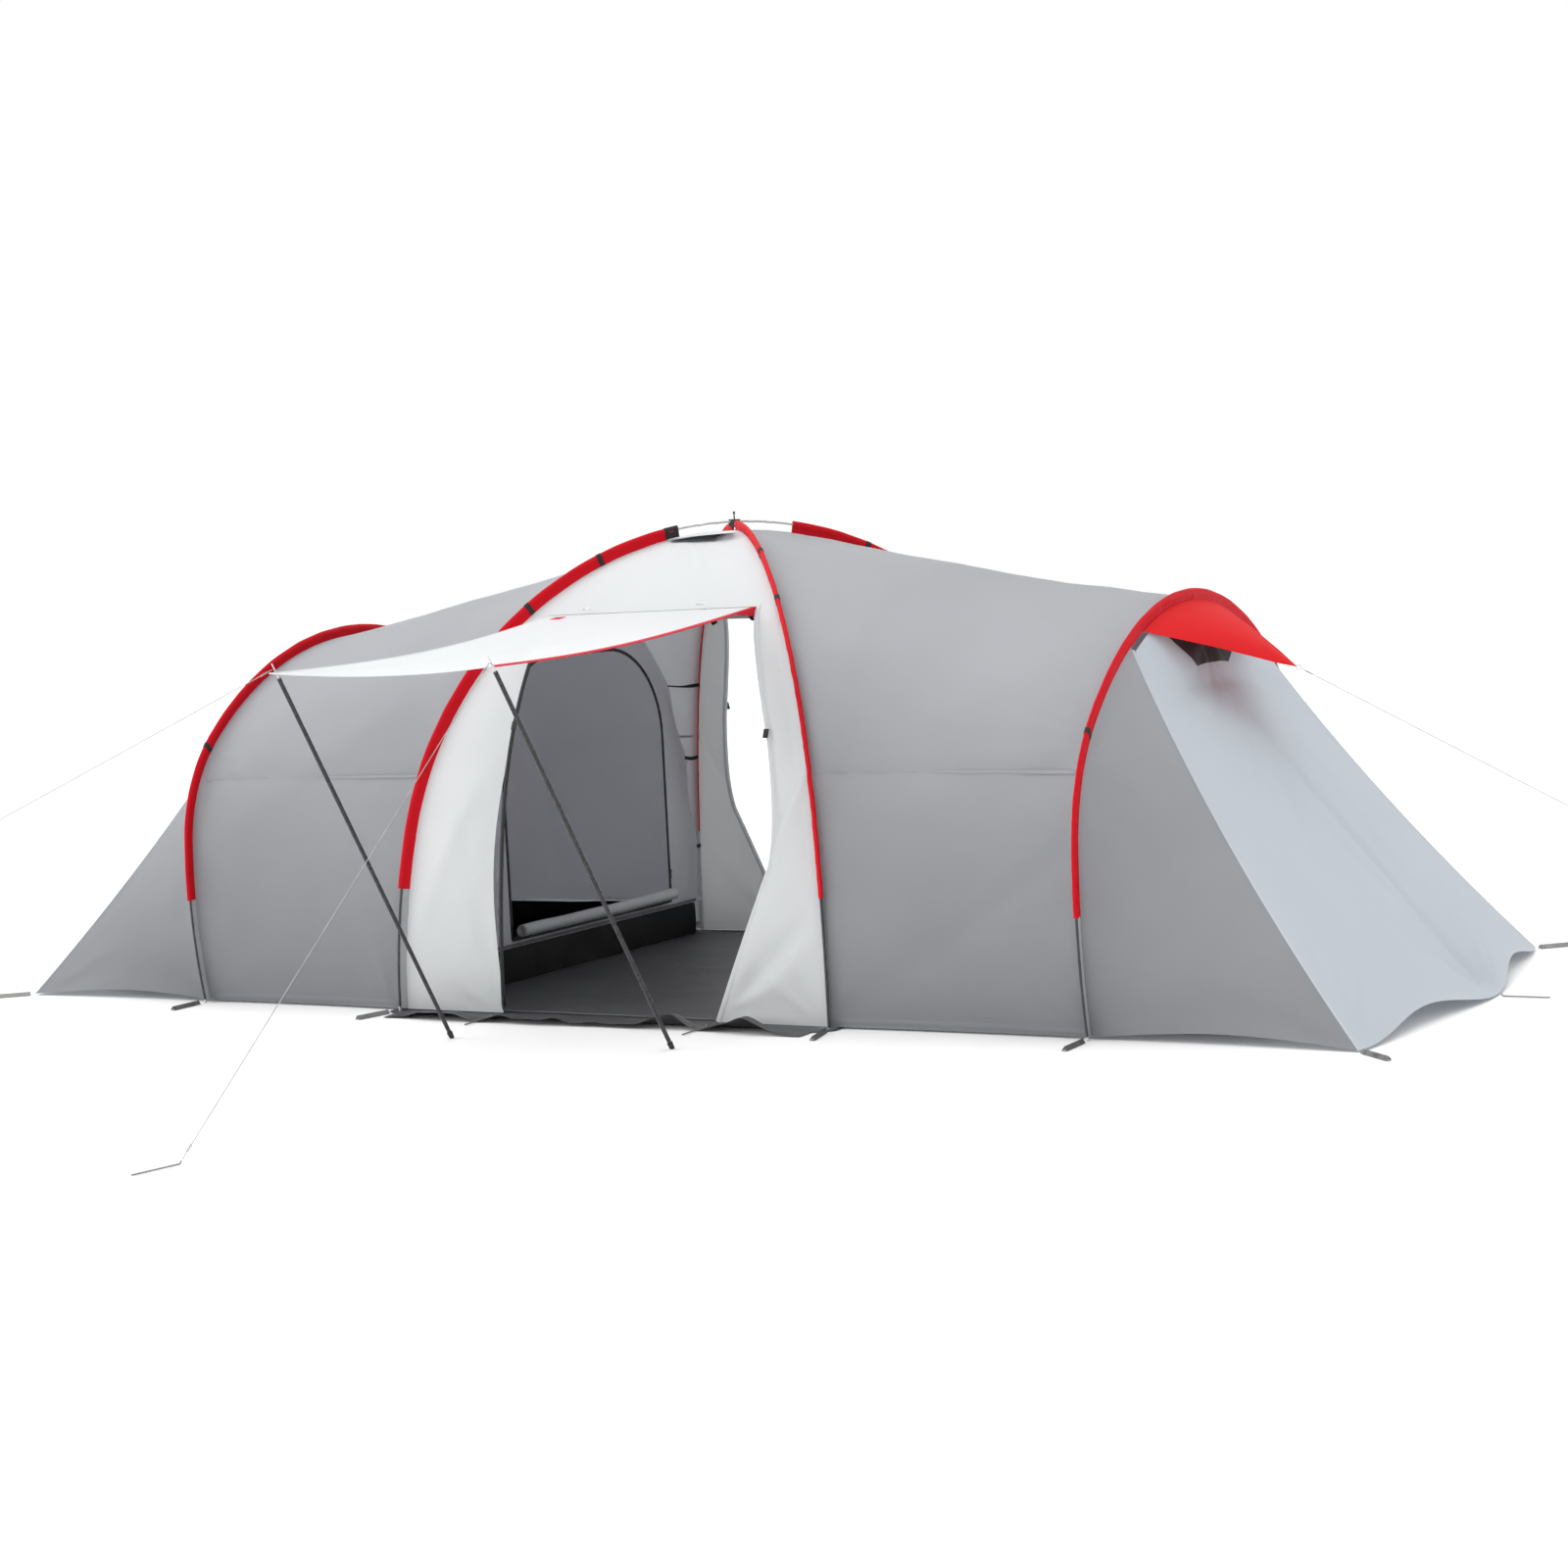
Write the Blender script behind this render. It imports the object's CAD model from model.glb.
from math import asin, atan2, cos, degrees, exp, hypot, pi, radians, sin, sqrt

import bpy
from mathutils import Matrix, Vector, noise


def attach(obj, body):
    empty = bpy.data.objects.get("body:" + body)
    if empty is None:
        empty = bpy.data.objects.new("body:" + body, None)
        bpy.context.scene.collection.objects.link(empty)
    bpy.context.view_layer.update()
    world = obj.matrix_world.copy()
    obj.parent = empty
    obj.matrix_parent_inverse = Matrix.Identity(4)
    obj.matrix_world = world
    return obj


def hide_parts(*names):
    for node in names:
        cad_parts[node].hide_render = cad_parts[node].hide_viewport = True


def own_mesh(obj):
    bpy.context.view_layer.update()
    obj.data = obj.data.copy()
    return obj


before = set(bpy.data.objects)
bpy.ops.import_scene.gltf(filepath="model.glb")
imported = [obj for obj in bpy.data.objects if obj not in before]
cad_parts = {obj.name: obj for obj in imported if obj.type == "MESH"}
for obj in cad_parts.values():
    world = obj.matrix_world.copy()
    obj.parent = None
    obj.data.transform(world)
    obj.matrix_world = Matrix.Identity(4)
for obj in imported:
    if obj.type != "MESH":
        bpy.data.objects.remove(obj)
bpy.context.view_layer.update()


# ------------------------------------------------------------------ studio
# A pale level floor under an even white sky, with a broad soft sun overhead and another low on the
# front left. The tent is seen from its front right, at a standing person's eye height.
bpy.ops.object.select_all(action="DESELECT")
bpy.ops.mesh.primitive_circle_add(vertices=96, radius=90, fill_type="NGON", location=(0, 0, -0.002))
ground = bpy.context.object
ground.name = "studio_floor"
paint = bpy.data.materials.new("studio_white")
paint.use_nodes = True
paint.node_tree.nodes["Principled BSDF"].inputs["Base Color"].default_value = (0.90, 0.90, 0.90, 1)
paint.node_tree.nodes["Principled BSDF"].inputs["Roughness"].default_value = 0.9
ground.data.materials.append(paint)

sky = bpy.data.worlds.new("white_sky")
sky.use_nodes = True
sky.node_tree.nodes["Background"].inputs["Color"].default_value = (1.0, 1.0, 1.0, 1)
sky.node_tree.nodes["Background"].inputs["Strength"].default_value = 1.0
bpy.context.scene.world = sky
bpy.context.scene.view_settings.view_transform = "Standard"

SUNS = {
    "overhead": ((-2.0, 1.0, 10.0), 1.20, 70),
    "front_left": ((-9.0, -5.0, 4.5), 1.15, 40),
}
for name, (stand, strength, spread) in SUNS.items():
    bpy.ops.object.light_add(type="SUN", location=stand)
    lamp = bpy.context.object
    lamp.name = "sun_" + name
    lamp.data.energy = strength
    lamp.data.angle = radians(spread)
    lamp.rotation_euler = (-Vector(stand)).to_track_quat("-Z", "Y").to_euler()

EYE_STAND, LENS, SENSOR = (5.810, -10.028, 1.710), 62.41, 36.0
bpy.ops.object.camera_add(location=EYE_STAND)
eye = bpy.context.object
eye.name = "eye"
heading, pitch, roll = (radians(turn) for turn in (29.325, 4.457, -2.882))
look = Vector((-sin(heading) * cos(pitch), cos(heading) * cos(pitch), -sin(pitch)))
level = Vector((cos(heading), sin(heading), 0.0))
above = level.cross(look)
side = level * cos(roll) + above * sin(roll)
top = above * cos(roll) - level * sin(roll)
eye.rotation_euler = Matrix((side, top, -look)).transposed().to_euler()
eye.data.sensor_width = SENSOR
eye.data.lens = LENS
eye.data.clip_end = 400.0
bpy.context.scene.camera = eye


# ------------------------------------------------------------------ guys
# Three thin braided cords, tied to the awning's prop spikes and to the right hood's ring, and run
# down taut to wire pegs. Each ends in a doubled loop with a hitch round it.
class Tone:
    """A socket in a finish's node tree. Reckoning with it adds Math nodes."""

    def __init__(self, tree, socket=None):
        self.tree = tree
        self.socket = socket

    def node(self, kind, settings=None, sockets=None, out=0):
        """Any other node: its settings go in first, then the values or links of its sockets."""
        made = self.tree.nodes.new(kind)
        for name, value in (settings or {}).items():
            if name == "stops":
                for k, (place, shade) in enumerate(value):
                    stop = made.color_ramp.elements[k] if k < 2 else made.color_ramp.elements.new(place)
                    stop.position = place
                    stop.color = shade
            else:
                setattr(made, name, value)
        for name, value in (sockets or {}).items():
            if isinstance(value, Tone):
                self.tree.links.new(value.socket, made.inputs[name])
            else:
                made.inputs[name].default_value = value
        return Tone(self.tree, made.outputs[out])

    def math(self, operation, first, second):
        return self.node("ShaderNodeMath", {"operation": operation}, {0: first, 1: second})

    def __add__(self, other):
        return self.math("ADD", self, other)

    __radd__ = __add__

    def __mul__(self, other):
        return self.math("MULTIPLY", self, other)

    __rmul__ = __mul__

    def __sub__(self, other):
        return self.math("SUBTRACT", self, other)

    def __rsub__(self, other):
        return self.math("SUBTRACT", other, self)

    def held(self, low, high):
        """Nought below one value, one above the other, and even between them."""
        return self.node("ShaderNodeMapRange", {"clamp": True},
                         {"Value": self, "From Min": low, "From Max": high})

    def dye(self, low, high):
        """A colour between two, by this tone."""
        return self.node("ShaderNodeMix", {"data_type": "RGBA"}, {0: self, 6: low + (1,), 7: high + (1,)}, 2)


def bare_finish(name, colour, rough, **extra):
    """A finish whose even values stand on the shader's own sockets, and its tree to add to."""
    finish = bpy.data.materials.new(name)
    finish.use_nodes = True
    shader = finish.node_tree.nodes["Principled BSDF"]
    shader.inputs["Base Color"].default_value = colour + (1,)
    shader.inputs["Roughness"].default_value = rough
    for socket, value in extra.items():
        shader.inputs[socket.replace("_", " ")].default_value = value
    return finish, shader, Tone(finish.node_tree)


def connect(finish, shader, **tones):
    for socket, tone in tones.items():
        finish.node_tree.links.new(tone.socket, shader.inputs[socket.replace("_", " ")])


def braid(name, colour):
    """Braided cord: slanting strands in relief, a little soiled."""
    finish, shader, start = bare_finish(name, colour, 0.75)
    place = start.node("ShaderNodeTexCoord", out=3)
    strands = start.node("ShaderNodeTexWave", {"bands_direction": "DIAGONAL"},
                         {"Vector": place, "Scale": 180.0})
    soil = start.node("ShaderNodeTexNoise", {}, {"Vector": place, "Scale": 25.0, "Detail": 3.0})
    dull = tuple(c * 0.72 for c in colour)
    relief = start.node("ShaderNodeBump", {}, {"Strength": 0.5, "Distance": 0.0004, "Height": strands})
    connect(finish, shader, Base_Color=soil.held(0.35, 0.65).dye(dull, colour), Normal=relief)
    return finish


def fasten(piece, body, slot, finish, *nodes):
    """Dye a finished piece, hang it on its body, and let it stand for its plain solids."""
    piece.data.materials.clear()
    piece.data.materials.append(finish)
    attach(piece, body)
    if nodes:
        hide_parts(*nodes)
    return piece


white_braid = braid("white_braid", (0.40, 0.40, 0.39))
CORD_RADIUS = 0.0015
PROP_FEET = {"left": Vector((-0.378, -1.700, 0.0)), "right": Vector((0.610, -1.700, 0.0))}
AWNING_EYES = {"left": Vector((-0.484, -2.464, 1.439)), "right": Vector((0.454, -2.464, 1.439))}
CORD_LOW, LOOP_GAP, GUY_BEND = 0.016, 0.007, 0.018
HITCH_RADIUS, HITCH_PITCH, TAIL_RADIUS = 0.0031, 0.0011, 0.0014


def spike_hold(hand):
    """Where a guy's loop sits on its prop's spike."""
    way = (AWNING_EYES[hand] - PROP_FEET[hand]).normalized()
    return AWNING_EYES[hand] + way * 0.022


def cord_line(name, points):
    """A smooth cord line with these points as its control points."""
    line = bpy.data.curves.new(name, "CURVE")
    line.dimensions = "3D"
    spline = line.splines.new("NURBS")
    spline.points.add(len(points) - 1)
    for spot, point in zip(spline.points, points):
        spot.co = point.to_4d()
    spline.order_u = 3
    spline.use_endpoint_u = True
    spline.resolution_u = 12
    return line


def cord_points(line):
    """The points along a bare cord line."""
    probe = bpy.data.objects.new("probe", line)
    bpy.context.scene.collection.objects.link(probe)
    mesh = bpy.data.meshes.new_from_object(probe.evaluated_get(bpy.context.evaluated_depsgraph_get()))
    points = [v.co.copy() for v in mesh.vertices]
    bpy.data.objects.remove(probe)
    bpy.data.meshes.remove(mesh)
    return points


def pick(*pieces):
    """Select these pieces alone, the first of them active."""
    bpy.ops.object.select_all(action="DESELECT")
    for piece in pieces:
        piece.select_set(True)
    bpy.context.view_layer.objects.active = pieces[0]


def cord_piece(name, line, radius, sides=3):
    """The cord itself, as a mesh tube with closed ends about its line."""
    line.bevel_depth = radius
    line.bevel_resolution = sides
    line.use_fill_caps = True
    piece = bpy.data.objects.new(name, line)
    bpy.context.scene.collection.objects.link(piece)
    pick(piece)
    bpy.ops.object.convert(target="MESH")
    piece = bpy.context.object
    bpy.ops.object.shade_smooth()
    return piece


GUYS = {
    "guy_left": (spike_hold("left"), Vector((-3.150, -3.850, CORD_LOW)), "awning_swing"),
    "guy_middle": (spike_hold("right"), Vector((0.145, -3.808, CORD_LOW)), "awning_swing"),
    "guy_end": (Vector((2.460, 0.0, 1.247)), Vector((4.764, 0.0, CORD_LOW)), None),
}
for name, (hold, low, joint) in GUYS.items():
    way = (low - hold).normalized()
    high = hold + way * LOOP_GAP
    route = [high, high + way * GUY_BEND, high.lerp(low, 0.5), low - way * GUY_BEND, low]
    path = cord_points(cord_line(name + "_line", route))
    cord = cord_piece(name + "_cord", cord_line(name + "_tube", route), CORD_RADIUS)
    # the hitches: three turns of the cord's own tail, close against its line at both ends
    turns = []
    for middle in (high + way * 0.035, low - way * 0.04):
        across = way.orthogonal().normalized()
        third = way.cross(across)
        coil = []
        for k in range(25):
            turn = radians(45 * k)
            coil.append(middle + way * (HITCH_PITCH * k - 0.013)
                        + (across * cos(turn) + third * sin(turn)) * HITCH_RADIUS)
        turns.append(cord_piece(name + "_hitch_%d" % len(turns), cord_line(name + "_coil", coil),
                                TAIL_RADIUS, 2))
    pick(*turns)
    bpy.ops.object.join()
    hitch = turns[0]
    hitch.name = name + "_hitches"
    for piece, nodes in ((cord, [name]), (hitch, [])):
        fasten(piece, "tent", "cord_white", white_braid, *nodes)
        if joint:
            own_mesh(piece)


# ------------------------------------------------------------------ pegs
# Bent wire pegs at the guys, hems and end walls, and folded V stakes at the pole feet and corners.
# All are galvanised steel, scuffed bright along their length.
def galvanised(name, colour, rough):
    finish, shader, start = bare_finish(name, colour, rough, Metallic=1.0)
    place = start.node("ShaderNodeTexCoord", out=3)
    spangle = start.node("ShaderNodeTexVoronoi", {}, {"Vector": place, "Scale": 260.0})
    scuffs = start.node("ShaderNodeTexNoise", {}, {"Vector": place, "Scale": 45.0, "Detail": 6.0})
    dull = tuple(c * 0.6 for c in colour)
    mark = scuffs * 0.7 + spangle * 0.5
    relief = start.node("ShaderNodeBump", {}, {"Strength": 0.15, "Distance": 0.0004, "Height": scuffs})
    connect(finish, shader, Base_Color=mark.held(0.3, 0.8).dye(dull, colour), Normal=relief,
            Roughness=scuffs.held(0.3, 0.75) * 0.25 + (rough - 0.1))
    return finish


zinc = galvanised("zinc", (0.34, 0.34, 0.33), 0.45)
bright_steel = galvanised("bright_steel", (0.74, 0.74, 0.74), 0.28)


def refinish(finish, *nodes):
    """Give solids that keep their own shape a better finish."""
    for node in nodes:
        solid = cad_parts[node]
        solid.data.materials.clear()
        solid.data.materials.append(finish)


refinish(zinc, "guy_pegs", "wire_pegs", "v_stakes")


# ------------------------------------------------------------------ poles
# Shock-corded fibreglass: two long ones cross over the living room and one arches over each
# bedroom. The tube is dark, with pale worn sections where the dome poles run bare at the apex.
def fibreglass(name):
    finish, shader, start = bare_finish(name, (0.05, 0.05, 0.05), 0.35, Coat_Weight=0.2)
    place = start.node("ShaderNodeTexCoord", out=3)
    height = start.node("ShaderNodeSeparateXYZ", {}, {0: place}, 2)
    scuffs = start.node("ShaderNodeTexNoise", {}, {"Vector": place, "Scale": 38.0, "Detail": 5.0})
    bare = (height + scuffs * 0.03).held(1.70, 1.74)
    dark = scuffs.held(0.35, 0.75).dye((0.018, 0.018, 0.020), (0.045, 0.045, 0.048))
    pale = scuffs.held(0.3, 0.7).dye((0.40, 0.41, 0.41), (0.56, 0.57, 0.57))
    mixed = start.node("ShaderNodeMix", {"data_type": "RGBA"}, {0: bare, 6: dark, 7: pale}, 2)
    connect(finish, shader, Base_Color=mixed, Roughness=scuffs.held(0.2, 0.8) * 0.25 + 0.25)
    return finish


def moulding(name, colour, rough):
    """Moulded plastic: fine spark grain and slight wear."""
    finish, shader, start = bare_finish(name, colour, rough)
    place = start.node("ShaderNodeTexCoord", out=3)
    grain = start.node("ShaderNodeTexNoise", {}, {"Vector": place, "Scale": 900.0, "Detail": 2.0})
    wear = start.node("ShaderNodeTexNoise", {}, {"Vector": place, "Scale": 60.0, "Detail": 5.0})
    worn = tuple(c * 1.8 + 0.01 for c in colour)
    relief = start.node("ShaderNodeBump", {}, {"Strength": 0.2, "Distance": 0.0002, "Height": grain})
    connect(finish, shader, Base_Color=wear.held(0.45, 0.8).dye(colour, worn), Normal=relief,
            Roughness=wear * 0.2 + (rough - 0.1))
    return finish


glass_rod = fibreglass("fibreglass")
black_moulding = moulding("black_moulding", (0.018, 0.018, 0.019), 0.42)
refinish(glass_rod, "dome_pole_a", "dome_pole_b", "arch_pole_left", "arch_pole_right")
refinish(bright_steel, "pole_fittings", "hood_ring", "awning_eyelets", "prop_spike_left", "prop_spike_right")
refinish(black_moulding, "apex_hub")


# ------------------------------------------------------------------ pole sleeves
# Red polyester sleeves sewn into the seams as flat fins, with the pole drawn into their outer edge.
# They stop above the ground and short of the crossing. Black webbing bands tie them to the pole.
HALF_WIDTH, FOOT_X, APEX, DOME_SIDE = 1.226, 1.010, 1.950, 3.400
ARCH_X, ARCH_TOP, ARCH_BULGE, BULGE_HEIGHT = 2.035, 1.575, 1.282, 0.520
ARCH_SIDE, SHOULDER, ARCH_CROWN = 2.440, 0.700, 1.540
RUN = hypot(HALF_WIDTH, FOOT_X)
POLE_INSET, POLE_GAP, CLOTH_INSET, SEAM_GAP, HEM = 0.022, 0.006, 0.054, 0.006, 0.006
SLEEVE_ENDS = {"dome": 0.495, "arch": 0.446}


def dome_arcs():
    """Half of a dome pole's outer edge: (centre across, centre height, radius, first, last angle)."""
    across = DOME_SIDE - RUN
    rise = DOME_SIDE - APEX
    centre = (across ** 2 - rise ** 2) / (2 * rise)
    joint = degrees(atan2(centre, across))
    return [(-across, 0, DOME_SIDE, 0, joint), (0, centre, APEX - centre, joint, 54),
            (0, centre, APEX - centre, 54, 90)]


def arch_arcs():
    """Half of a bedroom arch: a bulging side, a shoulder and a flatter top."""
    low, high = Vector((ARCH_BULGE - ARCH_SIDE, BULGE_HEIGHT)), Vector((0, ARCH_TOP - ARCH_CROWN))
    reach_low, reach_high = ARCH_SIDE - SHOULDER, ARCH_CROWN - SHOULDER
    gap = high - low
    along = (reach_low ** 2 - reach_high ** 2 + gap.length ** 2) / (2 * gap.length)
    off = sqrt(reach_low ** 2 - along ** 2)
    unit = gap.normalized()
    middle = low + unit * along + Vector((-unit.y, unit.x)) * off
    turn_low = degrees(atan2(middle.y - low.y, middle.x - low.x))
    turn_high = degrees(atan2(middle.y - high.y, middle.x - high.x))
    foot = -degrees(asin(BULGE_HEIGHT / ARCH_SIDE))
    return [(low.x, low.y, ARCH_SIDE, foot, turn_low), (middle.x, middle.y, SHOULDER, turn_low, turn_high),
            (high.x, high.y, ARCH_CROWN, turn_high, 90)]


DOME, ARCH = dome_arcs(), arch_arcs()


def bow_stations(arcs, low, last, step=0.02):
    """Stations along a bent pole from a height to an end angle, as (arc, angle)."""
    stations = []
    for arc in arcs:
        first, end = arc[3], min(arc[4], last)
        start_height = (low - arc[1]) / (arc[2] - POLE_INSET)
        if abs(start_height) < 1:
            first = max(first, degrees(asin(start_height)))
        if end <= first:
            continue
        count = max(2, round(radians(end - first) * arc[2] / step))
        for k in range(count + (1 if end >= last - 1e-6 else 0)):
            stations.append((arc, radians(first + (end - first) * k / count)))
    return stations


def fin_point(station, heading, shift, inset, sideways):
    """A point of a sleeve's cross-section: inset from the outer edge and to one side of the pole."""
    arc, angle = station
    across = arc[0] + (arc[2] - inset) * cos(angle)
    height = arc[1] + (arc[2] - inset) * sin(angle)
    turn = radians(heading)
    return Vector((cos(turn) * across - sin(turn) * sideways, sin(turn) * across
                   + cos(turn) * sideways, height)) + shift


def lay_cloth(name, rows, ring=False):
    """A grid laid over rows of points, with a UV map in metres. A ring is sewn to itself."""
    width = sum((b - a).length for a, b in zip(rows[len(rows) // 2], rows[len(rows) // 2][1:]))
    length = sum((b[0] - a[0]).length for a, b in zip(rows, rows[1:]))
    bpy.ops.object.select_all(action="DESELECT")
    bpy.ops.mesh.primitive_grid_add(x_subdivisions=len(rows[0]) - 1, y_subdivisions=len(rows) - 1, size=1)
    piece = bpy.context.object
    piece.name = name
    piece.data.vertices.foreach_set("co", [c for row in rows for point in row for c in point])
    for spot in piece.data.uv_layers[0].data:
        spot.uv = (spot.uv[0] * width, spot.uv[1] * length)
    if ring:
        bpy.ops.object.mode_set(mode="EDIT")
        bpy.ops.mesh.select_all(action="SELECT")
        bpy.ops.mesh.remove_doubles(threshold=1e-5)
        bpy.ops.object.mode_set(mode="OBJECT")
    piece.data.update()
    return piece


def close_up(piece):
    """Fill a piece's open ends and turn its faces outwards."""
    pick(piece)
    bpy.ops.object.mode_set(mode="EDIT")
    bpy.ops.mesh.select_all(action="SELECT")
    bpy.ops.mesh.fill_holes(sides=0)
    bpy.ops.mesh.select_all(action="SELECT")
    bpy.ops.mesh.normals_make_consistent(inside=False)
    bpy.ops.object.mode_set(mode="OBJECT")
    bpy.ops.object.shade_smooth_by_angle(angle=radians(50))
    return piece


CLOTH_THICK, STIFF_THICK, ROLLED_THICK = 0.0012, 0.0014, 0.0007


def thicken(piece, thick=CLOTH_THICK, inward=True):
    """Give a sheet its thickness, and soft shading."""
    pick(piece)
    wall = piece.modifiers.new("cloth", "SOLIDIFY")
    wall.thickness = thick
    wall.offset = -1 if inward else 1
    bpy.ops.object.modifier_apply(modifier="cloth")
    bpy.ops.object.shade_smooth_by_angle(angle=radians(60))
    return piece


def sew(name, *pieces):
    """Join pieces into one."""
    pick(*pieces)
    if len(pieces) > 1:
        bpy.ops.object.join()
    pieces[0].name = name
    return pieces[0]


def woven(name, light, deep, thread=0.0012, rough=0.62, through=0.0, crumple=0.5, soiled=0.0, lit=None,
          shine=0.35):
    """Plain-weave polyester: warp and weft in relief, soft crumples and uneven dye. Thin cloth also
    lets some light through, and cloth that reaches the ground is soiled towards its hem."""
    finish, shader, start = bare_finish(name, light, rough, Specular_IOR_Level=shine)
    place = start.node("ShaderNodeTexCoord", out=3)
    flat = start.node("ShaderNodeTexCoord", out=2)
    cloud = start.node("ShaderNodeTexNoise", {}, {"Vector": place, "Scale": 1.1, "Detail": 5.0})
    slub = start.node("ShaderNodeTexNoise", {}, {"Vector": place, "Scale": 110.0, "Detail": 2.0})
    dye = cloud.held(0.25, 0.75) * 0.75 + slub.held(0.3, 0.7) * 0.25
    if soiled:
        height = start.node("ShaderNodeSeparateXYZ", {}, {0: place}, 2)
        clean = (height + cloud * 0.30).held(0.10, 1.55)
        dye = clean * soiled + dye * (1 - soiled)
    pitch = 0.314 / thread
    warp = start.node("ShaderNodeTexWave", {"bands_direction": "X"}, {"Vector": flat, "Scale": pitch})
    weft = start.node("ShaderNodeTexWave", {"bands_direction": "Y"}, {"Vector": flat, "Scale": pitch})
    crease = start.node("ShaderNodeTexNoise", {}, {"Vector": place, "Scale": 9.0, "Detail": 6.0,
                                                   "Distortion": 0.6})
    threads = start.node("ShaderNodeBump", {}, {"Strength": 0.35, "Distance": 0.0003, "Height": warp + weft})
    relief = start.node("ShaderNodeBump", {}, {"Strength": crumple, "Distance": 0.004, "Height": crease,
                                               "Normal": threads})
    colour = dye.dye(deep, light)
    connect(finish, shader, Base_Color=colour, Normal=relief, Roughness=slub * 0.12 + (rough - 0.06))
    if through:
        glow = start.node("ShaderNodeBsdfTranslucent", {}, {"Color": lit + (1,) if lit else colour})
        mix = start.node("ShaderNodeMixShader", {}, {0: through, 1: Tone(finish.node_tree, shader.outputs[0]),
                                                     2: glow})
        finish.node_tree.links.new(mix.socket, finish.node_tree.nodes["Material Output"].inputs["Surface"])
    return finish


sleeve_red = woven("sleeve_cloth", (0.640, 0.002, 0.012), (0.470, 0.001, 0.008), rough=0.6, crumple=0.8,
                   shine=0.15)
webbing = woven("webbing", (0.022, 0.022, 0.024), (0.012, 0.012, 0.013), thread=0.0035, rough=0.7,
                crumple=0.1)
def clamp(value):
    return max(0.0, min(1.0, value))


FIN = [(0.007, 0.0), (0.010, 0.0055), (0.017, 0.0085), (0.026, 0.0080), (0.034, 0.0048), (0.044, 0.0026),
       (0.058, 0.0018), (0.058, -0.0018), (0.044, -0.0026), (0.034, -0.0048), (0.026, -0.0080),
       (0.017, -0.0085), (0.010, -0.0055), (0.007, 0.0)]


def fin(name, arcs, heading, shift, low, last, seed, proud=0.0, step=0.02, pucker=1.0):
    """A stretch of sleeve, with the puckers that the bend of the pole gives it."""
    rows = []
    for k, station in enumerate(bow_stations(arcs, low, last, step)):
        row = []
        for inset, sideways in FIN:
            loose = clamp((inset - 0.006) / 0.02) * min(1.0, (0.062 - inset) / 0.02)
            ruck = noise.noise(Vector((seed, k * 0.33, inset * 45))) * 0.0032
            ruck += noise.noise(Vector((seed + 9, k * 1.1, inset * 20))) * 0.0014
            spread = sideways * (1 + proud / 0.006) + ruck * loose * pucker
            edge = inset + noise.noise(Vector((seed + 4, k * 0.21, 0))) * 0.0016 * pucker
            row.append(fin_point(station, heading, shift, edge - (proud if inset < 0.03 else -proud * 0.2),
                                 spread))
        rows.append(row)
    return close_up(lay_cloth(name, rows, ring=True))


DOME_HEADING = degrees(atan2(HALF_WIDTH, FOOT_X))
FINS = {
    "sleeve_front_left": (DOME, (DOME_HEADING + 180,), Vector((0, 0, POLE_GAP)), 80.0),
    "sleeve_rear_right": (DOME, (DOME_HEADING,), Vector((0, 0, POLE_GAP)), 80.0),
    "sleeve_front_right": (DOME, (-DOME_HEADING,), Vector((0, 0, -POLE_GAP)), 88.0),
    "sleeve_rear_left": (DOME, (180 - DOME_HEADING,), Vector((0, 0, -POLE_GAP)), 88.0),
    "sleeve_arch_left": (ARCH, (90, -90), Vector((-ARCH_X, 0, 0)), 90.0),
    "sleeve_arch_right": (ARCH, (90, -90), Vector((ARCH_X, 0, 0)), 90.0),
}
BAND_ANGLES, BAND_WIDTH, CUFF_ANGLES = {"dome": (52.0, 66.0), "arch": (40.0,)}, 0.022, (78.0, 80.3)
bands = []
for seed, (name, (arcs, headings, shift, last)) in enumerate(FINS.items()):
    mouth = SLEEVE_ENDS["arch" if arcs is ARCH else "dome"]
    halves = [fin(name + "_half", arcs, h, shift, mouth, last, seed * 7.3 + h) for h in headings]
    fasten(sew(name + "_fin", *halves), "tent", "sleeve_red", sleeve_red, name)
    for h in headings:
        for mark in BAND_ANGLES["arch" if arcs is ARCH else "dome"]:
            arc = [a for a in arcs if a[3] <= mark <= a[4]][0]
            low = arc[1] + (arc[2] - POLE_INSET) * sin(radians(mark))
            turn = degrees(BAND_WIDTH / arc[2])
            bands.append(fin("band", [arc], h, shift, low, mark + turn, 0.0, proud=0.0016, step=0.006,
                             pucker=0.0))
# the front left sleeve ends in a black reinforcement beside the bare pole
arc = DOME[2]
low = arc[1] + (arc[2] - POLE_INSET) * sin(radians(CUFF_ANGLES[0]))
bands.append(fin("cuff", [arc], DOME_HEADING + 180, Vector((0, 0, POLE_GAP)), low, CUFF_ANGLES[1], 0.0,
                 proud=0.0014, step=0.01, pucker=0.0))
fasten(sew("sleeve_webbing_bands", *bands), "tent", "webbing_black", webbing, "sleeve_bands")


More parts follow.
